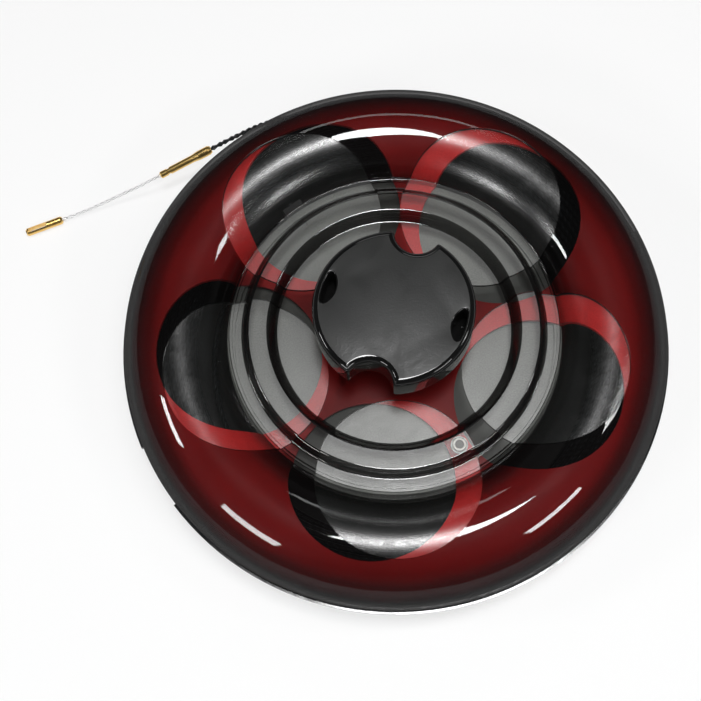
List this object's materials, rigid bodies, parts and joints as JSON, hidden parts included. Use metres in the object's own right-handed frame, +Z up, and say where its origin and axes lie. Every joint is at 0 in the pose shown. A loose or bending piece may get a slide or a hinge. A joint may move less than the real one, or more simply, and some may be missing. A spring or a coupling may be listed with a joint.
{
  "type": "draw-in tape reel",
  "caption": "Flat round reel case with a see-through front over a windowed red drum of twisted draw-in tape, wound by a notched knob; the tape leaves the rim and ends in a brass eye.",
  "frame": {"origin": "on the drum's axis, in the plane of the foot ring that the reel lies on", "axes": "+Z up along the drum's axis towards the knob; the tape leaves the rim on the +Y side and runs to -X"},
  "size_m": [0.3626, 0.3034, 0.082],
  "materials": {
    "clear_plastic": "polished, see-through smoke tint, frosted in the round pads",
    "black_gloss": "moulded gloss",
    "red_plastic": "moulded gloss",
    "grey_plastic": "moulded satin",
    "black_grained": "fine moulded grain",
    "pale_plastic": "moulded satin",
    "bearing_plastic": "moulded satin",
    "tape": "twisted strands, satin gloss",
    "steel": "zinc plated",
    "brass": "turned, slightly worn",
    "leader_wire": "twisted bright wire"
  },
  "bodies": {
    "case": {"front_shell": "clear_plastic", "rear_shell": "black_gloss", "vent_plug": "pale_plastic", "front_bush": "bearing_plastic", "rear_bush": "bearing_plastic", "disc_spring": "steel", "exit_guide": "black_gloss", "tape_lead": "tape", "tape_sleeve": "brass", "leader_ferrule": "brass", "wire_leader": "leader_wire", "pulling_eye": "brass"},
    "rotor": {"knob": "black_grained", "spindle": "steel", "drive_pin": "steel", "thrust_washer": "bearing_plastic", "rear_washer": "steel", "rear_nut": "steel", "drum_front": "red_plastic", "drum_core": "grey_plastic", "drum_rear": "black_gloss", "drum_screws": "steel", "tape_anchor": "grey_plastic", "anchor_screw": "steel", "tape_inner_turns": "tape", "tape_coil": "tape"}
  },
  "joints": [
    {"name": "drum_spin", "type": "hinge", "parent": "case", "child": "rotor", "pos_m": [0, 0, 0.031], "axis": [0, 0, 1], "continuous": true}
  ]
}
